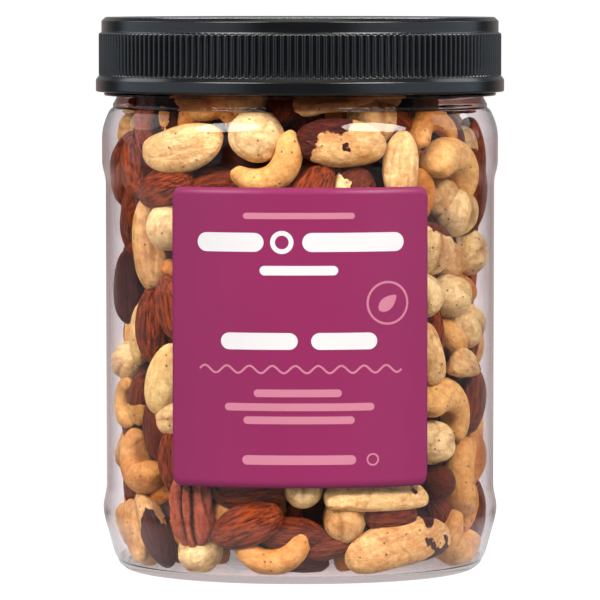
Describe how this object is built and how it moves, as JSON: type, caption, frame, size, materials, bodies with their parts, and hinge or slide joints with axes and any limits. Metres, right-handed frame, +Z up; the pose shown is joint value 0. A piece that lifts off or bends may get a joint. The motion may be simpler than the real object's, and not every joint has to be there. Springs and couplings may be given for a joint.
{
  "type": "lidded jar of mixed nuts",
  "caption": "Clear, nearly round plastic jar filled with mixed nuts, with a ribbed black screw lid and a plain magenta label on its front.",
  "frame": {"origin": "middle of the jar's foot, on the surface it stands on", "axes": "+Z up along the jar's axis, -Y out through the label"},
  "size_m": [0.1154, 0.1154, 0.1553],
  "materials": {
    "clear_plastic": "clear, smooth and glossy PET with a faint mauve tint",
    "lid_plastic": "black moulded plastic with a soft satin sheen",
    "label_film": "satin magenta film label with plain light shapes",
    "nuts": "roasted nuts: cream and tan kernels and red-brown skins, slightly oily"
  },
  "bodies": {
    "root": {"jar": "clear_plastic", "lid": "lid_plastic", "label": "label_film", "nuts": "nuts"}
  },
  "joints": []
}
